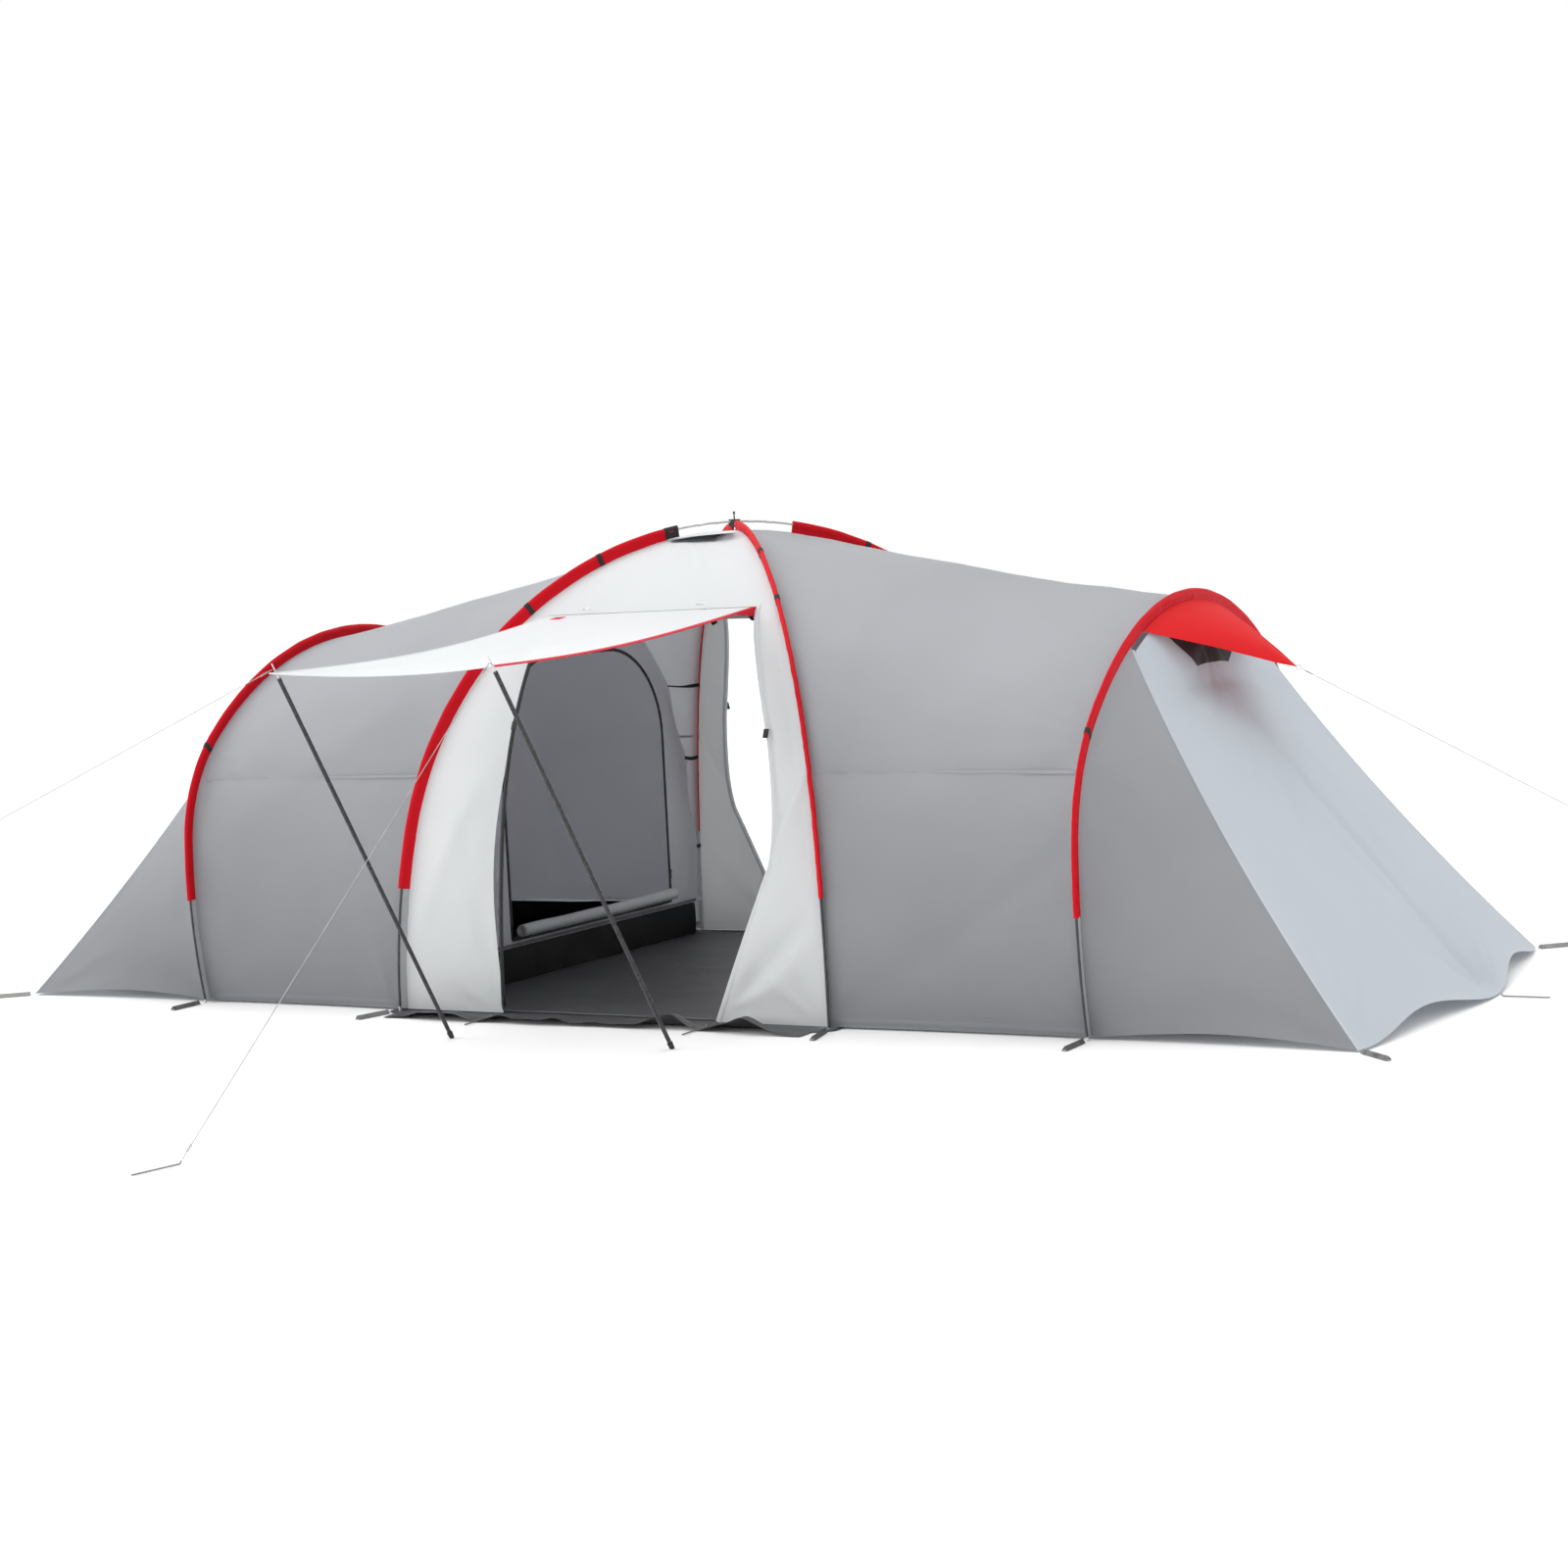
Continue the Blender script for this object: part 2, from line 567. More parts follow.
# below each sleeve a narrow grey pocket edge runs on down to the ground beside the bare pole
POCKET = [(0.029, 0.0), (0.031, 0.0022), (0.040, 0.0014), (0.057, 0.0014), (0.057, -0.0014), (0.040, -0.0014),
          (0.031, -0.0022), (0.029, 0.0)]
pocket_cloth = woven("pocket_cloth", (0.400, 0.415, 0.430), (0.300, 0.310, 0.322), crumple=0.8)
pockets = []
for seed, (name, (arcs, headings, shift, last)) in enumerate(FINS.items()):
    for h in headings:
        mouth = SLEEVE_ENDS["arch" if arcs is ARCH else "dome"]
        end = degrees(asin((mouth + 0.004 - arcs[0][1]) / (arcs[0][2] - POLE_INSET)))
        rows = []
        for k, station in enumerate(bow_stations(arcs[:1], 0.004 - min(0.0, shift.z), end, 0.02)):
            ruck = [0.0022 * noise.noise(Vector((seed + h, k * 0.5, inset * 60))) for inset, _ in POCKET]
            ruck[-1] = ruck[0]
            rows.append([fin_point(station, h, shift, inset, sideways + extra)
                         for (inset, sideways), extra in zip(POCKET, ruck)])
        pockets.append(close_up(lay_cloth("pocket", rows, ring=True)))
fasten(sew("pole_pocket_edges", *pockets), "tent", "roof_grey", pocket_cloth)


# ------------------------------------------------------------------ roof wings
# One grey sheet of coated polyester over each bedroom, sewn to two dome sleeves and an arch sleeve,
# and hemmed at the ground. A lap seam crosses each side at a little under a metre.
def profile_point(arcs, share, inset=CLOTH_INSET):
    """Across and up on a pole's profile, for a share of the way from its hem to its top."""
    stage = min(2, int(share * 3))
    across, height, radius, start, end = arcs[stage]
    if stage == 0:
        start = degrees(asin((HEM - height) / (radius - inset)))
    angle = radians(start + (end - start) * (share * 3 - stage))
    return across + (radius - inset) * cos(angle), height + (radius - inset) * sin(angle)


def halve(height_at, height, low, high, rounds):
    """Where something that rises between low and high comes to a height, by halving."""
    for _ in range(rounds):
        middle = (low + high) / 2
        low, high = (middle, high) if height_at(middle) < height else (low, middle)
    return low


def share_at(arcs, height, inset=CLOTH_INSET):
    return halve(lambda share: profile_point(arcs, share, inset)[1], height, 0.0, 1.0, 36)


def dome_seam(share, side_x, side_y, inset=CLOTH_INSET):
    reach, height = profile_point(DOME, share, inset)
    return Vector((side_x * FOOT_X / RUN * reach, side_y * HALF_WIDTH / RUN * reach, height))


def arch_seam(share, side_x, side_y, inset=CLOTH_INSET, beyond=0.0):
    across, height = profile_point(ARCH, share, inset)
    return Vector((side_x * (ARCH_X + beyond), side_y * across, height))


def run_of(points):
    return sum((b - a).length for a, b in zip(points, points[1:]))


def loosen(rows, seed, slack, fans=(), pulls=(), hold=0.10, free=""):
    """Let laid-out cloth hang as it does: broad hollows, creases that fan out from the points which
    pull it, and pull lines between two points. Sewn edges stay put, and free ones may move."""
    depth, width = len(rows) - 1, len(rows[0]) - 1
    over = run_of(rows[depth // 2]) / width
    down_pitch = run_of([row[width // 2] for row in rows]) / depth
    hung = []
    for i, row in enumerate(rows):
        line = []
        for j, spot in enumerate(row):
            along = row[min(j + 1, width)] - row[max(j - 1, 0)]
            down = rows[min(i + 1, depth)][j] - rows[max(i - 1, 0)][j]
            normal = along.cross(down)
            normal = normal.normalized() if normal.length > 1e-12 else Vector((0, 0, 1))
            near = [("first", i * down_pitch), ("last", (depth - i) * down_pitch), ("left", j * over),
                    ("right", (width - j) * over)]
            edge = min([far for side, far in near if side not in free] + [hold])
            still = edge / hold
            still = still * still * (3 - 2 * still)
            move = slack * (noise.noise(spot * 1.7 + Vector((seed, 0, 0)))
                            + 0.35 * noise.noise(spot * 4.3 + Vector((0, seed, 0)))
                            + 0.12 * noise.noise(spot * 11 + Vector((0, 0, seed))))
            for anchor, reach, height, lobes in fans:
                gap = spot - anchor
                turn = atan2(gap.z, gap.x + gap.y) * lobes + 1.5 * noise.noise(spot * 2.2)
                move += height * (0.6 - abs(sin(turn))) * exp(-gap.length / reach) * min(1.0,
                                                                                         gap.length / 0.12)
            for start, end, height, broad in pulls:
                run = end - start
                share = clamp((spot - start).dot(run) / run.length_squared)
                off = (spot - start - run * share).length / broad
                if off < 3:
                    move += height * exp(-off * off) * sin(pi * (0.08 + 0.84 * share))
            line.append(spot + normal * move * still)
        hung.append(line)
    return hung


def sheet_of(name, body, slot, finish, rows, rests_on, thick=CLOTH_THICK, nodes=(),
             inward=True,
             flat=None):
    """Make a sheet of cloth from rows of points, and tell the frame what size it was cut to."""
    width = flat[0] if flat else max(run_of(row) for row in rows)
    length = flat[1] if flat else max(run_of([row[k] for row in rows]) for k in range(0, len(rows[0]), 4))
    area = 0.0
    for upper, lower in zip(rows, rows[1:]):
        for a, b, c, d in zip(upper, upper[1:], lower, lower[1:]):
            area += ((b - a).cross(c - a).length + (b - d).cross(c - d).length) / 2
    piece = thicken(lay_cloth(name, rows), thick, inward)
    fasten(piece, body, slot, finish, *nodes)
    return piece


def welt(name, body, slot, finish, line, sideways, half=0.006, proud=0.0022):
    """A narrow raised strip laid along a line: a lap seam, a binding or a tape."""
    rows = []
    for k, spot in enumerate(line):
        run = (line[min(k + 1, len(line) - 1)] - line[max(k - 1, 0)]).normalized()
        out = sideways(spot) if callable(sideways) else sideways
        over = run.cross(out).normalized()
        up = over.cross(run).normalized()
        rows.append([spot + over * (half * a) + up * (proud * b) for a, b in
                     ((-1, -0.4), (-1, 0.55), (-0.6, 1), (0.6, 1), (1, 0.55), (1, -0.4), (-1, -0.4))])
    piece = close_up(lay_cloth(name, rows, ring=True))
    return fasten(piece, body, slot, finish)


roof_cloth = woven("roof_cloth", (0.455, 0.466, 0.486), (0.245, 0.250, 0.262), through=0.42, crumple=0.8,
                   soiled=0.8,
                   lit=(0.94, 0.95, 0.97))
WING_SEAM = 0.950
SIDES, FACES = ((-1, "left"), (1, "right")), ((-1, "front"), (1, "rear"))


def wing_point(side, round_share, along):
    """A point of a wing: round from the front hem over the ridge, and along from dome to arch."""
    face = -1 if round_share < 0.5 else 1
    share = 1 - abs(round_share * 2 - 1)
    near = dome_seam(share, side, face) + Vector((side * SEAM_GAP, 0, 0))
    far = arch_seam(share, side, face, beyond=-SEAM_GAP / 2)
    spot = near.lerp(far, along)
    dip = 4 * along * (1 - along)
    ridge = max(0.0, 1 - (1 - share) * 2.2)
    groove = exp(-abs(spot.z - WING_SEAM) / 0.045) * min(1.0, dip * 3)
    spot.z -= 0.016 * dip * ridge
    spot.y -= face * (0.016 * groove + 0.012 * dip * (1 - ridge))
    return spot


for side, name in SIDES:
    rows = [[wing_point(side, c / 200, r / 60) for c in range(201)] for r in range(61)]
    peg = [Vector((side * FOOT_X, face * HALF_WIDTH, 0)) for face in (-1, 1)]
    arch = [Vector((side * ARCH_X, face * 1.18, 0)) for face in (-1, 1)]
    fans = [(spot, 0.35, 0.010, 5) for spot in peg + arch]
    fans += [(arch_seam(0.62, side, face), 0.30, 0.008, 6) for face in (-1, 1)]
    fans += [(dome_seam(0.55, side, face), 0.26, 0.006, 7) for face in (-1, 1)]
    pulls = []
    for face in (-1, 1):
        pulls.append((dome_seam(0.62, side, face), arch_seam(0.30, side, face), 0.010, 0.07))
        pulls.append((arch_seam(0.66, side, face), dome_seam(0.30, side, face), -0.009, 0.09))
        pulls.append((peg[0] if face < 0 else peg[1], arch_seam(0.35, side, face), 0.012, 0.05))
        pulls.append((dome_seam(0.86, side, face), arch_seam(0.78, side, face), -0.010, 0.10))
    rows = loosen(rows, 3.1 * side, 0.012, fans, pulls)
    if side > 0:
        rows.reverse()
    sheet_of("wing_" + name + "_cloth", "tent", "roof_grey", roof_cloth, rows,
             ["arch_pole_" + name, "dome_pole_a"], nodes=["wing_" + name])
    for face, mark in FACES:
        column = 1 if (face < 0) else -2
        hem = [row[column] + Vector((0, face * 0.0012, 0.004)) for row in rows[1:-1]]
        welt("wing_%s_%s_hem" % (name, mark), "tent", "roof_grey", roof_cloth, hem, Vector((0, face, 0)),
             half=0.010, proud=0.0016)
        line = []
        for k in range(1, 48):
            def up_side(share):
                return wing_point(side, share if face < 0 else 1 - share, k / 48)

            low = halve(lambda share: up_side(share).z, WING_SEAM, 0.0, 0.5, 24)
            line.append(up_side(low) + Vector((0, face * 0.0015, 0)))
        welt("wing_%s_%s_seam" % (name, mark), "tent", "roof_grey", roof_cloth, line, Vector((0, face, 0)),
             half=0.006, proud=0.0020)


# ------------------------------------------------------------------ front and rear walls
# Pale coated polyester between the dome seams: a head gore, and a panel each side of the doorway.
# The panel by the hinge-side jamb is pulled in slack by its peg. The rear is the front turned round.
pale_cloth = woven("pale_cloth", (0.800, 0.815, 0.825), (0.690, 0.710, 0.720), through=0.36, crumple=0.8,
                   soiled=0.2,
                   lit=(0.92, 0.93, 0.93))
tape_dark = woven("dark_tape", (0.030, 0.030, 0.032), (0.016, 0.016, 0.017), thread=0.003, crumple=0.15)
DOOR_HALF, DOOR_HEAD, DOOR_SLACK = 0.500, 1.580, 0.225


def wall_y(height, inset=CLOTH_INSET):
    return dome_seam(share_at(DOME, height, inset), -1, -1, inset).y


def slack_jamb(height):
    """How far the slack jamb stands from the middle at a height."""
    drawn = (1 - height / DOOR_HEAD) / 0.625
    if drawn < 1:
        return DOOR_HALF - 0.004 + (DOOR_SLACK + 0.004) * sin(pi / 2 * max(0.0, drawn))
    return DOOR_HALF + DOOR_SLACK * height / (DOOR_HEAD * 0.375)


def straight_jamb(height):
    return -DOOR_HALF - 0.035 * sin(pi * min(1.0, height / 1.15)) ** 2


def mirrored(points, side_x, side_y):
    """The same points on another side of the tent: mirrored by one -1, turned half round by two."""
    return [Vector((side_x * p.x, side_y * p.y, p.z)) for p in points]


panels = {}
left, right, head = [], [], []
for k in range(91):
    height = HEM + (DOOR_HEAD + 0.006 - HEM) * k / 90
    share = share_at(DOME, height)
    outer = dome_seam(share, -1, -1)
    bulge = 0.014 * sin(pi * k / 90)
    line_left, line_right = [], []
    for c in range(31):
        across = c / 30
        swell = bulge * sin(pi * across)
        x = outer.x + (straight_jamb(height) - outer.x) * across
        line_left.append(Vector((x, outer.y - swell, height)))
        x = slack_jamb(height) + (-outer.x - slack_jamb(height)) * across
        curl = 0.026 * (1 - across) ** 6 * sin(pi * min(1.0, height / 1.45))
        above_fold = max(0.0, 0.388 * (height - 0.590) - 0.922 * (x - 0.725))
        turned_in = 0.050 * (1 - exp(-above_fold / 0.05)) * min(1.0, (1 - across) / 0.35)
        turned_in *= clamp((1.50 - height) / 0.45)
        line_right.append(Vector((x, outer.y - swell + curl + turned_in, height)))
    left.append(line_left)
    right.append(line_right)
for k in range(41):
    share = share_at(DOME, DOOR_HEAD) + (0.985 - share_at(DOME, DOOR_HEAD)) * k / 40
    outer = dome_seam(share, -1, -1)
    head.append([Vector((outer.x * (1 - c / 30), outer.y, outer.z - 0.010 * sin(pi * c / 60)
                         * sin(pi * k / 40))) for c in range(61)])
HEM_Y = -1.18
peg = Vector((DOOR_HALF, HEM_Y, 0.02))
left = loosen(left, 5.0, 0.009, [(Vector((-0.51, HEM_Y, 0)), 0.3, 0.010, 5)],
              [(Vector((-0.95, -1.17, 0.25)), Vector((-0.55, -1.1, 1.1)), 0.008, 0.05),
               (Vector((-0.62, -0.75, 1.52)), Vector((-0.52, -1.15, 0.5)), -0.008, 0.035)], 0.05)
right = loosen(right, 6.0, 0.010, [(peg, 0.45, 0.014, 5), (Vector((0.99, -1.2, 0)), 0.3, 0.010, 6)],
               [(Vector((0.70, -1.15, 0.50)), Vector((0.885, -1.07, 0.97)), 0.012, 0.022),
                (peg, Vector((0.93, -1.16, 0.42)), -0.014, 0.05),
                (Vector((0.56, -0.75, 1.55)), Vector((0.80, -1.12, 0.72)), 0.012, 0.04)], 0.05)
head = loosen(head, 7.0, 0.006, [(Vector((-0.1, -0.2, 1.88)), 0.4, 0.006, 6)], (), 0.06)
for name, rows, turned_name in (("left", left, "right"), ("right", right, "left"), ("head", head, "head")):
    sheet_of("front_wall_%s_cloth" % name, "tent", "wall_light", pale_cloth, rows,
             ["sleeve_front_left_fin", "sleeve_front_right_fin"], nodes=["front_wall_" + name])
    sheet_of("rear_wall_%s_cloth" % turned_name, "tent", "wall_light", pale_cloth,
             [mirrored(row, -1, -1) for row in rows],
             ["sleeve_rear_left_fin", "sleeve_rear_right_fin"], nodes=["rear_wall_" + turned_name])
# the slack jamb's pale binding, and the black loops and tab along the jambs, front and rear
for turn, mark in ((1, "front"), (-1, "rear")):
    line = mirrored([row[0] for row in right], turn, turn)
    welt("slack_jamb_binding_" + mark, "tent", "wall_light", pale_cloth, line, Vector((0, -turn, 0)), 0.011,
         0.0030)
    for height, hand in ((1.130, -1), (1.080, 1)):
        x = straight_jamb(height) + 0.004 if hand < 0 else slack_jamb(height) + 0.004
        tab = [Vector((turn * x, turn * (wall_y(height + 0.011 * k) + (0.030 if hand > 0 else -0.002)),
                       height + 0.011 * k)) for k in range(4)]
        welt("jamb_loop_%s_%s" % (mark, "straight" if hand < 0 else "slack"), "tent", "webbing_black",
             tape_dark, tab,
             Vector((0, -turn, 0)), 0.011, 0.0040)
    tab = [Vector((turn * (0.575 + 0.010 * k), turn * (-0.775 - 0.004 * k),
                   1.500 - 0.004 * k)) for k in range(4)]
    welt("jamb_tab_" + mark, "tent", "webbing_black", tape_dark, tab, Vector((0, -turn, 0.4)), 0.010, 0.004)


# ------------------------------------------------------------------ ends
# Behind each arch two grey side gores and a pale sloping end wall run out to three pegs. The seams
# between them are steep at the waist and flare at the corners.
end_cloth = woven("end_cloth", (0.660, 0.705, 0.750), (0.580, 0.625, 0.670), through=0.38, crumple=0.8,
                  soiled=0.3,
                  lit=(0.90, 0.93, 0.96))
CORNER, END_PEG = (3.025, 1.206), 3.180
WAIST = (2.250, 0.787, 1.017)
VENT_X, VENT_HEIGHT = 2.118, 1.220
SEAM_SHARE = 0.80


def end_seam(height, top):
    marks = [(0.0,) + CORNER, (WAIST[2], WAIST[0], WAIST[1]), (top.z, ARCH_X, -top.y)]
    x = y = 0.0
    for k, (own, x_k, y_k) in enumerate(marks):
        weight = 1.0
        for m, mark in enumerate(marks):
            if m != k:
                weight *= (height - mark[0]) / (own - mark[0])
        x += weight * x_k
        y += weight * y_k
    return Vector((x, -y, height))


def ridge_point(height, crown):
    if height > VENT_HEIGHT:
        share = (crown - height) / (crown - VENT_HEIGHT)
        return Vector((ARCH_X + SEAM_GAP + (VENT_X - ARCH_X) * share, 0, height))
    share = (VENT_HEIGHT - height) / VENT_HEIGHT
    return Vector((VENT_X + (END_PEG - VENT_X) * share, 0, height))


seam_top = arch_seam(SEAM_SHARE, 1, -1)
gore, seam_line = [], []
for k in range(81):
    on_arch = arch_seam(SEAM_SHARE * k / 80, 1, -1, beyond=SEAM_GAP / 2)
    height = HEM + (on_arch.z - HEM) * (seam_top.z - 0.012 - HEM) / (seam_top.z - HEM)
    far = end_seam(height, seam_top)
    seam_line.append(far)
    low = max(0.0, 1 - height / 0.5) ** 2
    gore.append([on_arch.lerp(far, c / 40) + Vector((0, 0.3, 1)) * (0.030 * low * sin(pi * c / 40))
                 for c in range(41)])
corner_peg = Vector((CORNER[0], -CORNER[1], 0))
gore = loosen(gore, 9.0, 0.010,
              [(corner_peg, 0.6, 0.014, 6), (Vector((ARCH_X, HEM_Y, 0)), 0.3, 0.010, 6),
               (arch_seam(0.55, 1, -1), 0.35, 0.008, 7)],
              [(corner_peg, arch_seam(0.42, 1, -1), 0.016, 0.05),
               (corner_peg, arch_seam(0.22, 1, -1), -0.012, 0.07)], 0.06)
end_wall, crown = [], ARCH_TOP - CLOTH_INSET - 0.020
for k in range(81):
    share = k / 80
    edge = end_seam(HEM + (seam_top.z - HEM - 0.020) * (1 - share),
                    seam_top) + Vector((SEAM_GAP, SEAM_GAP, 0))
    ridge = ridge_point(HEM + (crown - HEM) * (1 - share), crown)
    row = []
    for c in range(101):
        across = c / 50 - 1
        pull = across * across
        hollow = 0.060 * max(0.0, 1 - ridge.z / 0.8) ** 2 * sin(pi * abs(across)) ** 2
        row.append(Vector((ridge.x + (edge.x - ridge.x) * pull - hollow * 0.9, -edge.y * across,
                           ridge.z + (edge.z - ridge.z) * pull + hollow)))
    end_wall.append(row)
end_peg = Vector((END_PEG, 0, 0))
end_wall = loosen(end_wall, 11.0, 0.008, [(end_peg, 0.55, 0.016, 6), (Vector((2.1, 0, 1.40)), 0.4, 0.010, 5)]
                  + [(Vector((CORNER[0], s * CORNER[1], 0)), 0.45, 0.012, 6) for s in (-1, 1)],
                  [(end_peg, Vector((2.35, s * 0.30, 1.00)), 0.016, 0.06) for s in (-1, 1)] + [
                   (end_peg, Vector((2.07, 0, 1.36)), 0.042, 0.035),
                   (Vector((2.16, 0, 1.18)), Vector((2.75, -0.62, 0.40)), -0.012, 0.05)], 0.06)
for side, name in SIDES:
    for face, mark in FACES:
        rows = [mirrored(row, side, -face) for row in gore]
        sheet_of("end_gore_%s_%s" % (name, mark), "tent", "roof_grey", roof_cloth, rows,
                 ["arch_pole_" + name], nodes=["end_gores_" + name], inward=side * face < 0)
        line = mirrored([p + Vector((0.003, 0.002, 0)) for p in seam_line[::2]], side, -face)
        welt("end_seam_%s_%s" % (name, mark), "tent", "end_blue_grey", end_cloth, line,
             Vector((side * 0.7, face * 0.6, 0.4)), 0.006, 0.0026)
    rows = [mirrored(row, side, 1) for row in end_wall]
    sheet_of("end_wall_%s_cloth" % name, "tent", "end_blue_grey", end_cloth, rows,
             ["arch_pole_" + name], nodes=["end_wall_" + name], inward=side > 0)


# ------------------------------------------------------------------ end vents and hoods
# A black mesh window high in each end wall, and a bright red hood over it. The hood is sewn along
# the arch seam and drawn out to a point.
hood_cloth = woven("hood_cloth", (0.900, 0.022, 0.028), (0.780, 0.012, 0.016), through=0.30, crumple=0.8,
                   shine=0.15)
net = woven("vent_net", (0.030, 0.030, 0.034), (0.010, 0.010, 0.012), thread=0.004, crumple=0.2)
HOOD_SHARE, HOOD_TIP = 0.838, (2.445, 1.252)
for side, name in SIDES:
    rows = []
    for r in range(41):
        out = r / 40
        row = []
        for c in range(81):
            across = c / 40 - 1
            rim = arch_seam(HOOD_SHARE + (1 - HOOD_SHARE) * (1 - abs(across)), side, 1 if across > 0 else -1,
                            beyond=SEAM_GAP)
            tip = Vector((side * HOOD_TIP[0], 0.010 * across, HOOD_TIP[1]))
            spot = rim.lerp(tip, out)
            spot.z += 0.020 * sin(pi * out) * (1 - across * across)
            spot.y *= 1 - 0.10 * sin(pi * out) * abs(across) ** 3
            row.append(spot)
        rows.append(row)
    rows = loosen(rows, 13.0 * side, 0.006, [(Vector((side * HOOD_TIP[0], 0, HOOD_TIP[1])), 0.25, 0.010, 4)],
                  (), 0.04, free="left right")
    sheet_of("hood_%s_cloth" % name, "tent", "hood_coral", hood_cloth, rows,
             ["sleeve_arch_%s_fin" % name], nodes=["hood_" + name], inward=side > 0)
NET_PROUD = Vector((0.0034, 0, 0.0028))
nets = []
for side in (-1, 1):
    rows = []
    for k in range(4, 13):
        half = 26 - 14 * (k - 4) / 8
        row = []
        for c in range(25):
            place = 50 + half * (c / 12 - 1)
            low = int(place)
            row.append(end_wall[k][low].lerp(end_wall[k][low + 1], place - low) + NET_PROUD)
        rows.append(mirrored(row, side, 1))
    nets.append(thicken(lay_cloth("net", rows)))
fasten(sew("end_vent_nets", *nets), "tent", "mesh_black", net, "end_vent_mesh")


# ------------------------------------------------------------------ roof vents
# A net window each side of the crossing, shaded by a small stiffened flap of wall cloth that is
# sewn along its upper edge.
flaps = []
for turn in (1, -1):
    rows, net_rows = [], []
    for r in range(13):
        down = r / 12
        middle = dome_seam(share_at(DOME, 1.886 - 0.026 * down), -1, -1)
        half = -middle.x - 0.040
        bow = 0.016 * sin(pi / 2 * down)
        rows.append([Vector((turn * (half * (c / 12 - 1) - 0.02 * down),
                             turn * (middle.y - bow * 0.6 * (c / 24) ** 0.5),
                             middle.z + 0.006 + bow * (c / 24) ** 0.5)) for c in range(25)])
        row = []
        for c in range(25):
            across = c / 24
            low = dome_seam(share_at(DOME, 1.856 + (0.004 + 0.026 * across) * (1 - down)), -1, -1)
            row.append(Vector((turn * (-0.160 + 0.210 * across), turn * low.y, low.z + 0.004)))
        net_rows.append(row)
    flaps.append(thicken(lay_cloth("flap", rows), STIFF_THICK))
    piece = thicken(lay_cloth("roof_vent_net_" + ("front" if turn > 0 else "rear"), net_rows))
    fasten(piece, "tent", "mesh_black", net)
fasten(sew("roof_vent_flaps", *flaps), "tent", "wall_light", pale_cloth, "apex_vent_flaps")


# ------------------------------------------------------------------ groundsheet
# A loose black sheet of coated polyethylene, pegged by eyelets, with wavy skirts that run out under
# the front and rear walls. A grey tape marks each threshold.
sheet_black = woven("groundsheet", (0.070, 0.070, 0.075), (0.046, 0.046, 0.050), rough=0.42, crumple=1.0,
                    shine=0.40)
tape_grey = woven("grey_tape", (0.160, 0.162, 0.165), (0.110, 0.112, 0.115), thread=0.003)
FLOOR_X, FLOOR_Y, SKIRT_X, SKIRT_Y = 0.940, 1.115, 1.034, 1.380
rows = []
for r in range(201):
    y = -SKIRT_Y + 2 * SKIRT_Y * r / 200
    out = clamp((abs(y) - FLOOR_Y + 0.03) / 0.06)
    tuck = clamp((abs(y) - 1.235) / 0.05)
    half = FLOOR_X + (SKIRT_X - FLOOR_X) * out - (SKIRT_X - 0.962) * tuck
    row = []
    for c in range(161):
        x = half * (c / 80 - 1)
        loose = clamp((abs(y) - 1.262) / 0.07)
        wave = noise.noise(Vector((x * 3.6, 0.4 if y > 0 else 0.9, 2.0)))
        wave += 0.4 * noise.noise(Vector((x * 9, y * 6, 4.0)))
        held = min(1.0, abs(abs(x) - 0.5) / 0.10)
        lift = 0.0012 + 0.006 * max(0.0, noise.noise(Vector((x * 3, y * 3, 5.0)))) * (1 - out)
        lift += max(0.0, 0.026 + 0.060 * wave) * loose * held
        ragged = 0.050 * loose * noise.noise(Vector((x * 2.6, 9.0, 1.0 + y)))
        row.append(Vector((x, y + (ragged if y < 0 else -ragged), max(0.0012, lift))))
    rows.append(row)
sheet_of("living_groundsheet", "tent", "floor_black", sheet_black, rows, ["studio_floor"],
         nodes=["living_floor"], inward=False)
for turn, mark in ((1, "front"), (-1, "rear")):
    line = [Vector((-0.9 + 1.8 * k / 60, turn * (-1.135 + 0.004 * sin(k * 0.7)), 0.0070)) for k in range(61)]
    welt("threshold_tape_" + mark, "tent", "floor_black", tape_grey, line, Vector((0, 0, 1)), 0.009, 0.0012)


# ------------------------------------------------------------------ bedrooms
# Each bedroom hangs inside the end of the tent: a black tub floor, a grey breathable canopy,
# and a front wall with a D-shaped doorway, held out by ties at its rear edge.
inner_cloth = woven("inner_cloth", (0.800, 0.800, 0.825), (0.720, 0.720, 0.745), through=0.60, crumple=0.9,
                    lit=(0.97, 0.97, 0.99))
seam_tape = woven("seam_tape", (0.900, 0.900, 0.910), (0.800, 0.800, 0.810), thread=0.002, through=0.3)
tub_black = woven("tub_cloth", (0.004, 0.004, 0.005), (0.002, 0.002, 0.003), rough=0.34, crumple=1.0,
                  shine=0.12)
zip_black = woven("zip_tape", (0.020, 0.020, 0.022), (0.010, 0.010, 0.011), thread=0.0022, rough=0.55)
INNER_X, INNER_HALF, TUB_HEIGHT, TUB_END, TUB_FLOOR = 0.950, 1.095, 0.150, 2.740, 0.002
TAIL_HALF, SHOULDER_X, INNER_INSET = INNER_HALF - 0.120, 1.790, CLOTH_INSET + 0.086
D_LOW, D_HIGH, D_BACK, D_FRONT, D_CORNER = 0.190, 1.390, 0.850, 0.450, 0.420


def inner_point(x, round_share):
    face = -1 if round_share < 0.5 else 1
    share = 1 - abs(round_share * 2 - 1)
    near, far = dome_seam(share, 1, face, INNER_INSET), arch_seam(share, 1, face, INNER_INSET)
    spot = near.lerp(far, (x - near.x) / (far.x - near.x))
    return Vector((x, spot.y, max(spot.z, TUB_HEIGHT + 0.002)))


